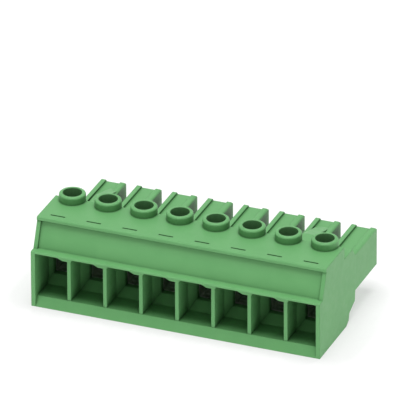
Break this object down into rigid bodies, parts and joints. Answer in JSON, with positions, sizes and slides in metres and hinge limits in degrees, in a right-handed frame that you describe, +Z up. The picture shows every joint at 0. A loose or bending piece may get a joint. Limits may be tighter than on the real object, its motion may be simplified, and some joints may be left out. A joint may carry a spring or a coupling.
{
  "type": "pluggable terminal block",
  "caption": "Green plug-in screw terminal block: a row of funnel-shaped wire entries, screw collars on the top, and socket tongues at the rear.",
  "frame": {"origin": "centre of the bounding box, at its bottom", "axes": "+X along the row of poles, +Y from the wire entries to the socket tongues, +Z up"},
  "size_m": [0.061, 0.0312, 0.0199],
  "materials": {
    "housing_plastic": "satin",
    "cage_metal": "satin",
    "screw_steel": "satin",
    "contact_metal": "satin",
    "spring_steel": "satin"
  },
  "bodies": {
    "block": {"housing": "housing_plastic", "contact_1": "contact_metal", "contact_2": "contact_metal", "contact_3": "contact_metal", "contact_4": "contact_metal", "contact_5": "contact_metal", "contact_6": "contact_metal", "contact_7": "contact_metal", "contact_8": "contact_metal", "contact_spring_1": "spring_steel", "contact_spring_2": "spring_steel", "contact_spring_3": "spring_steel", "contact_spring_4": "spring_steel", "contact_spring_5": "spring_steel", "contact_spring_6": "spring_steel", "contact_spring_7": "spring_steel", "contact_spring_8": "spring_steel"},
    "screw_1": {"clamp_screw_1": "screw_steel"},
    "cage_1": {"clamp_cage_1": "cage_metal"},
    "screw_2": {"clamp_screw_2": "screw_steel"},
    "cage_2": {"clamp_cage_2": "cage_metal"},
    "screw_3": {"clamp_screw_3": "screw_steel"},
    "cage_3": {"clamp_cage_3": "cage_metal"},
    "screw_4": {"clamp_screw_4": "screw_steel"},
    "cage_4": {"clamp_cage_4": "cage_metal"},
    "screw_5": {"clamp_screw_5": "screw_steel"},
    "cage_5": {"clamp_cage_5": "cage_metal"},
    "screw_6": {"clamp_screw_6": "screw_steel"},
    "cage_6": {"clamp_cage_6": "cage_metal"},
    "screw_7": {"clamp_screw_7": "screw_steel"},
    "cage_7": {"clamp_cage_7": "cage_metal"},
    "screw_8": {"clamp_screw_8": "screw_steel"},
    "cage_8": {"clamp_cage_8": "cage_metal"}
  },
  "joints": [
    {"name": "screw_1_turn", "type": "hinge", "parent": "block", "child": "screw_1", "pos_m": [-0.02667, -0.00313, 0.0149], "axis": [0, 0, -1], "range_deg": [0, 2160]},
    {"name": "screw_2_turn", "type": "hinge", "parent": "block", "child": "screw_2", "pos_m": [-0.01905, -0.00313, 0.0149], "axis": [0, 0, -1], "range_deg": [0, 2160]},
    {"name": "screw_3_turn", "type": "hinge", "parent": "block", "child": "screw_3", "pos_m": [-0.01143, -0.00313, 0.0149], "axis": [0, 0, -1], "range_deg": [0, 2160]},
    {"name": "screw_4_turn", "type": "hinge", "parent": "block", "child": "screw_4", "pos_m": [-0.00381, -0.00313, 0.0149], "axis": [0, 0, -1], "range_deg": [0, 2160]},
    {"name": "screw_5_turn", "type": "hinge", "parent": "block", "child": "screw_5", "pos_m": [0.00381, -0.00313, 0.0149], "axis": [0, 0, -1], "range_deg": [0, 2160]},
    {"name": "screw_6_turn", "type": "hinge", "parent": "block", "child": "screw_6", "pos_m": [0.01143, -0.00313, 0.0149], "axis": [0, 0, -1], "range_deg": [0, 2160]},
    {"name": "screw_7_turn", "type": "hinge", "parent": "block", "child": "screw_7", "pos_m": [0.01905, -0.00313, 0.0149], "axis": [0, 0, -1], "range_deg": [0, 2160]},
    {"name": "screw_8_turn", "type": "hinge", "parent": "block", "child": "screw_8", "pos_m": [0.02667, -0.00313, 0.0149], "axis": [0, 0, -1], "range_deg": [0, 2160]},
    {"name": "cage_1_lift", "type": "slide", "parent": "block", "child": "cage_1", "axis": [0, 0, 1], "range_m": [0, 0.003]},
    {"name": "cage_2_lift", "type": "slide", "parent": "block", "child": "cage_2", "axis": [0, 0, 1], "range_m": [0, 0.003]},
    {"name": "cage_3_lift", "type": "slide", "parent": "block", "child": "cage_3", "axis": [0, 0, 1], "range_m": [0, 0.003]},
    {"name": "cage_4_lift", "type": "slide", "parent": "block", "child": "cage_4", "axis": [0, 0, 1], "range_m": [0, 0.003]},
    {"name": "cage_5_lift", "type": "slide", "parent": "block", "child": "cage_5", "axis": [0, 0, 1], "range_m": [0, 0.003]},
    {"name": "cage_6_lift", "type": "slide", "parent": "block", "child": "cage_6", "axis": [0, 0, 1], "range_m": [0, 0.003]},
    {"name": "cage_7_lift", "type": "slide", "parent": "block", "child": "cage_7", "axis": [0, 0, 1], "range_m": [0, 0.003]},
    {"name": "cage_8_lift", "type": "slide", "parent": "block", "child": "cage_8", "axis": [0, 0, 1], "range_m": [0, 0.003]}
  ],
  "couplings": [
    {"joint": "screw_1_turn", "follows": "cage_1_lift", "rad_per_m": 12566},
    {"joint": "screw_2_turn", "follows": "cage_2_lift", "rad_per_m": 12566},
    {"joint": "screw_3_turn", "follows": "cage_3_lift", "rad_per_m": 12566},
    {"joint": "screw_4_turn", "follows": "cage_4_lift", "rad_per_m": 12566},
    {"joint": "screw_5_turn", "follows": "cage_5_lift", "rad_per_m": 12566},
    {"joint": "screw_6_turn", "follows": "cage_6_lift", "rad_per_m": 12566},
    {"joint": "screw_7_turn", "follows": "cage_7_lift", "rad_per_m": 12566},
    {"joint": "screw_8_turn", "follows": "cage_8_lift", "rad_per_m": 12566}
  ]
}
